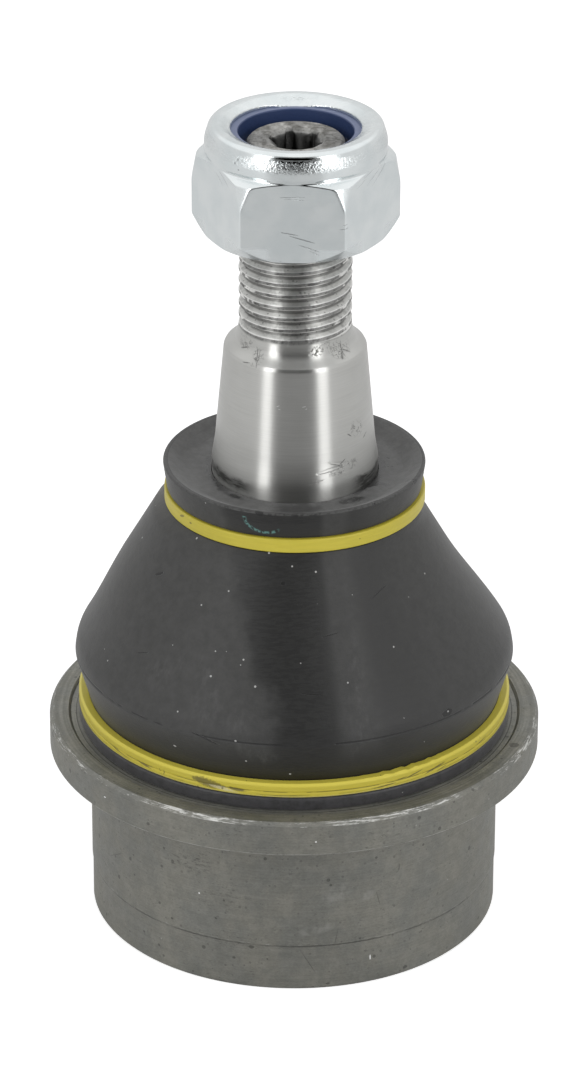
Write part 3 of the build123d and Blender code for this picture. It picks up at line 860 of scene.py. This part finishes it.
def polished_steel():
    """Ground and turned steel, with a dirty thread and a scuffed end."""
    finish = Finish("polished_steel", metallic=1.0, anisotropic=0.95, anisotropic_rotation=0.25)
    radius, turn, height = finish.radius, finish.turn, finish.height
    rings = finish.turning(0.12)
    coarse = finish.turning(0.9, seed=4)
    clouds = finish.noise(4.0, detail=4, seed=2)
    fine = finish.noise(0.35, detail=4, roughness=0.65, seed=8)
    finish.ground(clouds, (0.56, 0.56, 0.545), (0.50, 0.50, 0.48))
    finish.tone(0.88 + rings * 0.2 + coarse * 0.05)

    start, crest, end = thread_base / MM, thread_radius / MM, stud_end / MM
    on_thread = height.ease(start - 0.1, start + 0.3) * (height < end - 0.05)
    depth = crest - radius
    root_shade = depth.ease(0.5, thread_depth / MM - 0.02)
    edge = depth.band(0.04, 0.14, 0.03)
    flat = depth.ease(0.035, 0.01)
    dirt = finish.mottle(1.2, 0.42, 0.7, detail=5, roughness=0.7, seed=12)
    grit = finish.specks(0.5, 0.3, 0.45, seed=5)
    # Painted shade in the groove's root and a painted highlight on the crest's edges; the crest's flat is darker,
    # and dirt and grit darken the thread.
    thread = finish.colour(root_shade, (0.78, 0.78, 0.76), (0.32, 0.32, 0.31))
    thread = finish.shade(thread, 1 - dirt * 0.3 - flat * 0.55)
    thread = finish.colour(edge * fine.ease(0.3, 0.45), thread, (0.95, 0.95, 0.93))
    thread = finish.shade(thread, 1 - grit * 0.4)
    finish.paint(on_thread, thread)

    # Painted shade: the end's chamfer is darkened.
    chamfer_shade = height.band(end - 1.15, end + 0.1, 0.15) * (radius > 5.9)
    finish.tone(1 - chamfer_shade * 0.8)

    top = (height > end - 0.35) * (radius < crest - 0.9)
    scuffs = finish.noise(0.9, detail=5, roughness=0.75, stretch=(1, 1, 4), seed=14)
    rubbed = scuffs.ease(0.35, 0.68)
    finish.paint(top, finish.colour(rubbed, (0.20, 0.195, 0.18), (0.52, 0.515, 0.495)))
    hole = (radius < 3.75) * (height > end - socket_depth / MM - 3)
    inside = hole * height.ease(end - 0.25, end - 0.7)
    # Painted shade: darker deeper inside the drive socket.
    finish.tone(1 - inside * 0.65)
    scallops = hole * height.band(end - 0.42, end - 0.06, 0.06)
    finish.paint(scallops * fine.ease(0.3, 0.5) * 0.5, (0.62, 0.62, 0.60))

    cracks = finish.marks(
        (-38, 77.9, 2.2, 0.14, -62), (-34, 77.2, 1.4, 0.1, -70), (50, 78.2, 2.0, 0.22, 80),
        (47, 77.6, 1.2, 0.2, 40), (54, 77.8, 1.4, 0.2, -30), (-44, 76.9, 1.4, 0.14, 10),
        (27, 63.6, 4.2, 0.12, 6), (31, 64.2, 2.2, 0.1, -20), (36, 64.4, 1.6, 0.12, 30),
        (-56, 78, 1.6, 0.2, 20), (44, 67.5, 1.0, 0.16, -40), (62, 66.5, 1.4, 0.14, 30), soft=0.7,
        ragged=fine)
    wriggle = finish.noise(0.55, detail=3, roughness=0.6, seed=41)
    tears = finish.marks(
        (48, 78.3, 4.6, 2.6, 0), (-57, 78.7, 4.0, 2.2, 0), (-36, 77.6, 2.4, 2.2, -60),
        (30, 79.0, 3.0, 1.2, 0), (52, 68.0, 3.0, 2.6, -30), (38, 63.6, 6.0, 1.6, 8), soft=0.9)
    threads = abs(wriggle - 0.5).ease(0.03, 0.01)
    cracks = cracks.most(threads * finish.mottle(1.4, 0.38, 0.48, seed=43) * tears)
    pitted = finish.mark(21, 78.6, 2.6, 1.5, soft=0.9)
    pitted *= finish.mottle(0.3, 0.5, 0.58, detail=4, seed=20)
    ticks = finish.marks(
        (-13.1, 72.3, 0.5, 0.12, 25), (6.8, 72.3, 0.55, 0.12, 12), (8.5, 72.0, 0.3, 0.1, 40),
        (-12, 71.9, 0.35, 0.1, -10))
    finish.tone(1 - cracks * 0.55)
    finish.paint(pitted, (0.12, 0.12, 0.11))
    finish.paint(ticks * 0.8, 0.95)

    greasy = finish.noise(1.6, detail=4, roughness=0.6, seed=17)
    smeared = height + (greasy - 0.5) * 1.3
    left = turn.band(-118, -34, 9) * smeared.band(60.5, 61.7, 0.4)
    right = turn.band(46, 118, 9) * smeared.ease(62.0, 61.4)
    streaky = finish.noise(0.35, detail=3, stretch=(5, 5, 0.8), seed=27)
    film = (left + right) * streaky.ease(0.35, 0.55, 0.65, 1)
    finish.paint(film * 0.88, (0.045, 0.045, 0.042))
    loops = 1 - finish.marks(
        (27, 63.8, 4.6, 0.5, 8), (33, 64.4, 3.2, 0.3, -14), (15, 62.5, 3.0, 0.3, 10), soft=0.9,
        ragged=greasy)
    dents = 1 - (cracks + pitted * 0.8) * 0.5
    rough_thread = on_thread * (dirt * 0.5 + grit * 0.6)
    normal = finish.bump(rings, 0.0016, finish.bump(dents, 0.06, finish.bump(loops, 0.02)))
    normal = finish.bump(rough_thread + top * scuffs, 0.06, normal)
    roughness = 0.31 + clouds * 0.05 + on_thread * 0.16 + top * 0.18 + inside * 0.2 + film * 0.05
    return finish.give(roughness=roughness, normal=normal)


def zinc_plate():
    """Bright zinc, drawn over the collar and scratched by the spanner."""
    finish = Finish("zinc_plate")
    radius, height = finish.radius, finish.height
    top, low = nut_top / MM, nut_base / MM
    clouds = finish.mottle(3.0, 0.3, 0.7, detail=4)
    fine = finish.noise(0.3, detail=4, roughness=0.6, seed=3)
    bumpy = finish.mottle(0.3, 0.35, 0.65, detail=3, roughness=0.6, seed=6)
    finish.ground(clouds, (0.69, 0.735, 0.745), (0.76, 0.795, 0.80))
    roll = height.band(top - 2.3, top - 0.9, 0.2) * (radius > 10.3)
    lip = radius.ease(nut_crest_radius / MM - 0.7, nut_crest_radius / MM - 1.3)
    scratches = finish.marks(
        (-2, 100.6, 3.2, 0.09, 2), (-1, 100.3, 2.6, 0.07, -3), (4, 95.2, 3.6, 0.16, -16),
        (-4, 95.9, 2.4, 0.14, -10), (9, 94.0, 3.0, 0.12, -20), (28, 96.6, 1.3, 0.1, 4),
        (28, 97.1, 0.9, 0.08, 6), (12, 93.4, 1.6, 0.1, -25), soft=0.8, ragged=fine)
    drawn = finish.marks(
        (58, 101.2, 3.6, 0.12, 24), (63, 100.8, 3.4, 0.1, 28), (68, 101.5, 3.0, 0.12, 34),
        (52, 101.9, 2.6, 0.1, 14), (-50, 101.4, 3.0, 0.12, -26), (-56, 101.0, 2.6, 0.1, -30),
        (44, 101.2, 2.2, 0.08, 18), soft=0.9)
    pits = finish.specks(2.2, 0.26, 0.22, seed=4) * 0.6 + finish.marks(
        (-41, 103.9, 0.3, 0.3), (-39, 104.4, 0.25, 0.35), (-38, 103.2, 0.3, 0.2))
    flaws = (scratches * 0.35).most(pits * 0.4)
    finish.tone(1 - flaws.most(drawn * 0.25))
    under = height.ease(low + 2.0, low + 1.5) * radius.ease(11.25, 11.5)
    normal = finish.bump(clouds, 0.012, finish.bump(1 - scratches * 0.5 - drawn, 0.03))
    normal = finish.bump(bumpy * (roll + lip), 0.02, normal)
    roughness = 0.15 + finish.noise(1.2, detail=3, seed=8) * 0.07 + flaws * 0.2
    return finish.give(metallic=1 - under * 0.45, roughness=roughness, normal=normal)


def blue_nylon():
    """Blue nylon, pale where it has been squeezed flat, and darkened in its bore with painted shade."""
    finish = Finish("blue_nylon")
    clouds = finish.noise(1.5, detail=3)
    finish.ground(clouds, (0.175, 0.22, 0.38), (0.235, 0.275, 0.44))
    bore = finish.radius.ease(nut_bore / MM + 0.14, nut_bore / MM + 0.04)
    # Painted shade in the bore.
    finish.paint(bore, (0.036, 0.063, 0.165))
    normal = finish.bump(finish.noise(0.5, detail=3, stretch=(1, 1, 0.4)), 0.03)
    return finish.give(roughness=0.3 + clouds * 0.2, normal=normal)


def boot_rubber():
    """Black moulded rubber: dusty on one side, wet with oil at the lip, with a parting line, and with painted
    shade and a painted highlight.
    """
    finish = Finish("boot_rubber", specular_ior_level=0.5, sheen_weight=0.25, sheen_roughness=0.4)
    radius, turn, height = finish.radius, finish.turn, finish.height
    clouds = finish.noise(7.0, detail=5, roughness=0.6)
    streaks = finish.turning(0.16, drift=0.12)
    fine = finish.noise(0.4, detail=4, roughness=0.65, seed=6)
    finish.ground(clouds, (0.0135, 0.0135, 0.013), (0.019, 0.019, 0.018))
    finish.tone(0.85 + streaks * 0.3)

    above = (height - 38).most(0.0)
    boundary = above * -1.3 - 4.5 + (finish.noise(3.5, detail=4, seed=2) - 0.5) * 12
    dusty = turn.ease(boundary + 4, boundary - 3) * turn.ease(-170, -150)
    right = turn.ease(10, 14) * turn.ease(27, 20)
    right += turn.ease(24, 50) * turn.ease(170, 140)
    side = (dusty + right * 0.8) * height.ease(31.5, 36)
    powder = finish.noise(1.3, detail=6, roughness=0.75, seed=9)
    patchy = finish.mottle(1.3, 0.25, 0.75, detail=6, roughness=0.7, seed=9)
    finish.paint(side * (patchy * 0.4 + 0.4), (0.062, 0.062, 0.06))
    wiped_and_dark_reflection = turn.ease(boundary - 4, boundary + 6) * turn.ease(14, 6)
    lines = streaks.ease(0.42, 0.6)
    # The front band is darkened with streaks: partly wipe marks, partly a painted reflection of the room's dark
    # front.
    finish.tone(1 - wiped_and_dark_reflection * (radius > 16.1) * (0.08 + lines * 0.42))

    wisps = finish.marks(
        (-24, 39, 5, 14, 24), (-14, 36.5, 4, 9, 20), (-40, 41, 8, 5, 30), (-8, 33.5, 5, 3, 10),
        (18, 40, 3, 18, -8), soft=0.95)
    smoky = finish.mottle(1.1, 0.42, 0.7, detail=5, roughness=0.7, stretch=(1, 1, 3), seed=51)
    finish.paint(wisps * smoky * 0.35, (0.11, 0.11, 0.108))
    crease = crease_height / MM + 0.3
    parting = height.band(crease - 0.1, crease + 0.1, 0.06)
    parting *= finish.mottle(3.0, 0.4, 0.5, detail=3, seed=15)
    scuffs = finish.marks(
        (-24, 35.4, 3.2, 0.22, -12), (-21.5, 35.0, 2.6, 0.18, -16), (-57, 50.4, 1.6, 0.4, 30),
        (-4.5, 52.7, 0.7, 0.5), (5, 41, 3.0, 0.14, -6), (12, 47, 2.4, 0.12, 8),
        (33, 50.4, 3.0, 0.14, 20), (43.1, 36.1, 2.0, 0.9), (-15.1, 61.1, 0.9, 0.5, -20),
        (66, 61.0, 1.2, 0.5), (38, 61.1, 0.8, 0.35), (-50, 42, 2.4, 0.16, 20), ragged=fine)
    finish.tone(1 - (scuffs * 0.7).most(parting * 0.7))

    rim, lip = rim_radius / MM, rim_top / MM
    dish = (height > dish_floor / MM - 0.1) * (radius < rim - 0.55) * (radius > 10.2)
    dish_front_shade_edge = finish.noise(2.5, detail=4, seed=24)
    dish_front_shade = finish.mark(2, 12.6, 8.0, 6.0, soft=0.9, ragged=dish_front_shade_edge, flat=True)
    # Painted shade: in front of the stud the dish keeps less of its pale film.
    filmed = dish * (1 - dish_front_shade * 0.7)
    finish.paint(filmed * (0.6 + powder.ease(0.35, 0.7) * 0.4), (0.15, 0.15, 0.148))
    arcs = radius.band(13.4, 13.5, 0.1) + radius.band(14.6, 14.75, 0.08)
    finish.paint(dish * arcs * finish.mottle(3, 0.45, 0.6, seed=21) * 0.5, (0.09, 0.09, 0.088))
    edge = height.band(lip - 0.2, lip + 0.2, 0.05)
    edge *= radius.ease(rim - 0.55, rim - 0.3)
    # Painted highlight along the rim's top edge.
    finish.paint(edge * fine.ease(0.35, 0.6) * 0.6, (0.10, 0.10, 0.098))
    runny = finish.noise(1.4, detail=3, seed=23)
    round_stud = (radius + (runny - 0.5) * 2.5).ease(11.4, 10.9) * (
        turn.band(-132, -50, 10) + turn.band(46, 112, 10))
    puddles = finish.marks(
        (38, 11.8, 5.4, 2.0, 14), (66, 11.9, 0.9, 3.0, 0), (-42, 11.2, 4.0, 1.2, 0), soft=0.9,
        ragged=runny, flat=True)
    spots = finish.specks(0.8, 0.5, 0.8, seed=13) * finish.mark(99, 11.9, 4.5, 2.4, flat=True)
    wet = ((round_stud.most(puddles) + spots) * dish).least(1.0)
    finish.tone(1 - wet * 0.88)
    nick = finish.mark(-15.5, lip - 0.05, 1.3, 0.8, -25)
    finish.tone(1 - nick * 0.9)
    curve = (((turn + 13) / 9.5) ** 2 + ((height - 60.4) / 2.0) ** 2).band(0.82, 1.12, 0.12)
    smear = curve * (height < 60.4) * (radius > 15.4) * turn.ease(-6, -9)
    finish.tone(1 - smear * 0.6)
    finish.paint(smear * finish.mottle(0.35, 0.38, 0.55, seed=30) * 0.9, (0.12, 0.27, 0.25))

    foot = height < lower_ring_base / MM
    # Painted shade on the cuff under the crease, darker towards the bottom.
    finish.tone(1 - height.ease(31.6, 30.2) * 0.5)
    finish.paint(foot * (0.5 + powder.ease(0.3, 0.6) * 0.5), (0.055, 0.054, 0.058))
    dust = finish.specks(2.2, 0.24, 0.4, seed=2) * finish.mottle(8, 0.38, 0.55, seed=4)
    dust += finish.marks(
        (-80, 51.7, 0.27, 0.24), (-47, 55.5, 0.27, 0.24), (-11.2, 55.8, 0.29, 0.25),
        (-1, 54.5, 0.24, 0.22), (8.7, 53.8, 0.27, 0.24), (-25, 51.3, 0.24, 0.21),
        (-34, 49.2, 0.24, 0.21), (-25, 44.8, 0.2, 0.18), (-62.5, 39, 0.24, 0.21),
        (-24.8, 42.1, 0.31, 0.27), (-11.2, 41.7, 0.31, 0.27), (15.7, 41.9, 0.24, 0.21),
        (33, 44.5, 0.24, 0.21), (-32, 37.6, 0.24, 0.21), (-15, 35.6, 0.34, 0.24),
        (-33, 32.7, 0.48, 0.24, -15), (-12.6, 32.6, 0.27, 0.24), (-1, 30.9, 0.31, 0.24),
        (59, 50, 0.24, 0.21), (43.6, 36.2, 0.27, 0.24), soft=0.5)
    finish.paint(dust.least(1.0) * 0.85, (0.55, 0.55, 0.54))
    hollow = 1 - parting * 0.8 - scuffs * 0.6
    normal = finish.bump(streaks, 0.02, finish.bump(hollow, 0.08, finish.bump(powder, 0.03)))
    roughness = 0.44 + clouds * 0.1 + side * 0.08 - wet * 0.3
    return finish.give(roughness=roughness, normal=normal)


def yellow_paint():
    """Painted spring steel, worn at its edges and scuffed where it was fitted."""
    finish = Finish("yellow_paint")
    height = finish.height
    clouds = finish.noise(3.0, detail=4)
    streaks = finish.turning(0.25, drift=0.06)
    fine = finish.noise(0.35, detail=5, roughness=0.75, seed=5)
    finish.ground(clouds, (0.60, 0.51, 0.045), (0.68, 0.58, 0.07))
    finish.tone(0.86 + streaks * 0.24)
    lower = height < lower_ring_top / MM + 0.3
    slope = lower * height.ease(lower_ring_top / MM - 0.4, lower_ring_top / MM - 0.15)
    # Painted light: the lower ring's top slope is made brighter, against the shade under the boot's crease.
    finish.paint(slope * 0.8, (0.86, 0.74, 0.10))
    low, line = lower_ring_base / MM, (lower_ring_base + lower_ring_groove) / MM
    gaps = finish.mottle(2.2, 0.34, 0.48, detail=3, seed=7)
    other_gaps = finish.mottle(2.6, 0.45, 0.55, detail=3, seed=9)
    lines = height.band(line - 0.04, line + 0.04, 0.05) * gaps
    lines += height.band(low + 0.33, low + 0.38, 0.04) * other_gaps * 0.7
    finish.paint(lines * lower * 0.75, (0.07, 0.055, 0.012))
    pale = height.band(low, low + 0.22, 0.06) * lower * fine.ease(0.35, 0.55)
    finish.paint(pale * 0.5, (0.74, 0.68, 0.34))
    scuffs = finish.marks(
        (-25, 29.15, 2.8, 0.9, -8), (-20.5, 28.95, 3.0, 0.7, -8), (-15, 28.75, 2.6, 0.5, -6),
        (40, 28.9, 3.5, 0.4, 10), (-23, 29.0, 4.5, 1.3, -8), (-43, 28.7, 3.0, 0.25, -6),
        (24, 28.5, 4.0, 0.22, 3), soft=0.8, ragged=fine)
    scratches = finish.marks(
        (33, 29.1, 3.0, 0.2, 12), (39, 28.8, 3.2, 0.16, 12), (42, 28.5, 2.0, 0.14, 10),
        (29, 28.95, 2.0, 0.14, 6), (-36, 28.75, 0.16, 0.9, 0), (-37.4, 28.9, 0.12, 0.5, 10),
        (-2, 28.35, 5.0, 0.1, 0), (-52, 28.6, 5.0, 0.1, -4), (58, 29.0, 4.0, 0.12, 6), soft=0.7)
    marks = (scuffs * 0.8).most(scratches * 0.8)
    finish.paint(marks, (0.11, 0.09, 0.03))
    bare = finish.mark(-18.5, 28.55, 4.5, 0.5, -6, soft=0.9, ragged=fine)
    finish.paint(bare * 0.6, (0.75, 0.70, 0.45))
    nicks = finish.specks(1.5, 0.3, 0.35, seed=8) + finish.marks(
        (-88, 56.9, 0.5, 0.3), (-58.7, 57.2, 1.2, 0.35, 20), (-52, 57.0, 0.5, 0.3))
    finish.paint(nicks.least(1.0) * 0.7, (0.12, 0.09, 0.02))
    normal = finish.bump(streaks, 0.012, finish.bump(1 - marks, 0.03, finish.bump(fine, 0.012)))
    return finish.give(roughness=0.36 + clouds * 0.1, normal=normal)


def cup_acetal():
    """Cream acetal with faint flow lines and a film of grease."""
    finish = Finish("cup_acetal")
    flow = finish.noise(3.0, detail=4, stretch=(1, 1, 3))
    finish.ground(flow, (0.62, 0.58, 0.47), (0.74, 0.71, 0.60))
    return finish.give(roughness=0.28 + flow * 0.2, normal=finish.bump(finish.turning(0.3), 0.006))


def spring_steel():
    """Dark heat-treated sheet with a straw tint."""
    finish = Finish("spring_steel", metallic=0.9)
    tint = finish.noise(4.0, detail=3)
    finish.ground(tint, (0.12, 0.10, 0.085), (0.20, 0.17, 0.13))
    normal = finish.bump(finish.turning(0.25), 0.005)
    return finish.give(roughness=0.35 + tint * 0.15, normal=normal)


def seal_rubber():
    """Black nitrile cord with a little bloom."""
    finish = Finish("seal_rubber")
    bloom = finish.noise(0.8, detail=4)
    finish.ground(bloom, 0.012, 0.03)
    return finish.give(roughness=0.5 + bloom * 0.15, normal=finish.bump(bloom, 0.01))


def pressed_steel():
    """Zinc-plated pressing, dull, with draw marks round its dish."""
    finish = Finish("pressed_steel", metallic=0.9)
    clouds = finish.noise(4.0, detail=5, roughness=0.65)
    rings = finish.turning(0.5)
    finish.ground(clouds, (0.36, 0.36, 0.34), (0.27, 0.27, 0.25))
    finish.tone(0.85 + rings * 0.25)
    pits = finish.specks(2.0, 0.35, 0.3)
    finish.tone(1 - pits * 0.5)
    return finish.give(roughness=0.36 + clouds * 0.16, normal=finish.bump(rings, 0.01))


# Build

def dress(piece, finish, body, slot, *nodes):
    """Gives a piece its finish and its body, and lets it stand for its nodes."""
    piece.data.materials.clear()
    piece.data.materials.append(finish)
    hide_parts(*nodes)
    if body:
        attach(piece, body)
    return piece


dress(make_housing(), turned_steel(), "housing_group", "turned_steel", "housing")
boot = dress(make_boot(), boot_rubber(), None, "boot_rubber", "dust_boot")
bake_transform(boot)
ring_paint = yellow_paint()
dress(make_lower_ring(), ring_paint, "housing_group", "yellow_paint", "lower_boot_ring")
dress(make_upper_ring(), ring_paint, "collar_group", "yellow_paint", "upper_boot_ring")
steel = polished_steel()
stud = grown(
    make_stud(), thread_tree(steel), pitch=thread_pitch, depth=thread_depth, wear=0.1 * MM,
    crest_radius=thread_radius, start=thread_base, end=stud_end, run_out=0.8 * thread_pitch)
dress(stud, steel, "stud_group", "polished_steel", "ball_stud")
dress(make_nut(), zinc_plate(), "nut_group", "zinc_plate", "lock_nut")
dress(make_insert(), blue_nylon(), "insert_group", "blue_nylon", "nylon_insert")

hidden = {
    "upper_ball_seat": cup_acetal, "lower_ball_seat": cup_acetal, "disc_spring": spring_steel,
    "cover_seal": seal_rubber, "cover_plate": pressed_steel,
}
for node, make_finish in hidden.items():
    finish = make_finish()
    for slot in frame["nodes"][node].material_slots:
        slot.material = finish


# Floor, light and camera

def shown_to(tree, camera, mirrored):
    """A strength for what the camera sees, and one for what metal and glass show."""
    seen, glossy, through = [
        tree.node("ShaderNodeLightPath", {}, {}, f"Is {kind} Ray")
        for kind in ("Camera", "Glossy", "Transmission")]
    return seen * camera + (glossy + through) * mirrored


def front_dark(x, y):
    """1 towards the dark side of the room, where the camera stands."""
    return ((y * -1) / (x * x + y * y) ** 0.5).ease(0.78, 0.88)


def floor_finish():
    finish = Finish("floor", roughness=0.9)
    mirrored = finish.node("ShaderNodeLightPath", {}, {}, "Is Glossy Ray")
    dark = front_dark(finish.x, finish.y)
    # Painted reflection: to metal the floor shows darker and dimmer towards the front, the dark side of the room.
    finish.ground(mirrored * dark * finish.radius.ease(250, 600), 0.8, 0.08)
    strength = shown_to(finish, 0.7, 0.26 - dark * 0.2)
    glow = finish.node("ShaderNodeEmission", {}, {"Strength": strength})
    shader = Wire(finish, finish.shader.outputs[0])
    both = finish.node("ShaderNodeAddShader", {}, {0: shader, 1: glow})
    finish.tree.links.new(both.socket, finish.tree.nodes["Material Output"].inputs["Surface"])
    return finish.give()


FLOOR_SIZE = 4.0


def lay_floor():
    mesh = bpy.data.meshes.new("floor")
    half = FLOOR_SIZE / 2
    corners = [(-half, -half, 0), (half, -half, 0), (half, half, 0), (-half, half, 0)]
    mesh.from_pydata(corners, [], [(0, 1, 2, 3)])
    mesh.materials.append(floor_finish())
    placed("floor", mesh)


def aim(thing, place, target, roll=0.0):
    """Puts a lamp or camera at a place, looking at the target."""
    thing.location = place
    turn = (Vector(target) - Vector(place)).to_track_quat("-Z", "Y")
    thing.rotation_euler = turn.to_euler()
    thing.rotation_euler.rotate_axis("Z", radians(roll))


LAMP_BEARING = 42.5  # degrees to either side of the front
LAMP_RISE, LAMP_TARGET = 0.35, 0.06


def softbox(name, bearing, width, power, height=0.9, distance=0.9):
    lamp = bpy.data.lights.new(name, "AREA")
    lamp.shape, lamp.size, lamp.size_y, lamp.energy = "RECTANGLE", width, height, power
    turn = radians(bearing)
    place = (distance * sin(turn), -distance * cos(turn), LAMP_RISE)
    aim(placed(name, lamp), place, (0, 0, LAMP_TARGET))


def light_studio():
    softbox("left_softbox", -LAMP_BEARING, width=0.25, power=2.2)
    softbox("right_softbox", LAMP_BEARING, width=0.27, power=2.3)
    world = bpy.data.worlds.new("studio")
    bpy.context.scene.world = world
    world.use_nodes = True
    tree = Tree(world.node_tree)
    x, y, height = tree.parts(tree.node("ShaderNodeTexCoord", {}, {}, "Generated"))
    dark = front_dark(x, y) * height.ease(0.2, 0.4, 0.6, 1.0)
    dark *= height.ease(0.92, 0.78)
    mirrored = 0.3 + height.ease(0.35, 0.7) * 0.3 - dark
    strength = 0.5 + shown_to(tree, 0.6, mirrored)
    sky = world.node_tree.nodes["Background"]
    sky.inputs["Color"].default_value = (1, 1, 1, 1)
    world.node_tree.links.new(strength.socket, sky.inputs["Strength"])


CAMERA_TILT, CAMERA_ROLL = 26.2, 0.19  # degrees that the camera looks down, and leans
CAMERA_DISTANCE, CAMERA_TARGET, CAMERA_OFFSET = 0.69, 0.0498, -0.00008
FOCAL_PIXELS, FRAME_HEIGHT = 5530, 1080


def set_camera():
    data = bpy.data.cameras.new("camera")
    camera = placed("camera", data)
    data.sensor_fit = "VERTICAL"
    data.sensor_height = 36
    data.lens = FOCAL_PIXELS / FRAME_HEIGHT * data.sensor_height
    tilt = radians(CAMERA_TILT)
    rise = CAMERA_TARGET + CAMERA_DISTANCE * sin(tilt)
    place = (CAMERA_OFFSET, -CAMERA_DISTANCE * cos(tilt), rise)
    aim(camera, place, (CAMERA_OFFSET, 0, CAMERA_TARGET), CAMERA_ROLL)
    bpy.context.scene.camera = camera


lay_floor()
light_studio()
set_camera()
bpy.context.scene.view_settings.view_transform = "Standard"
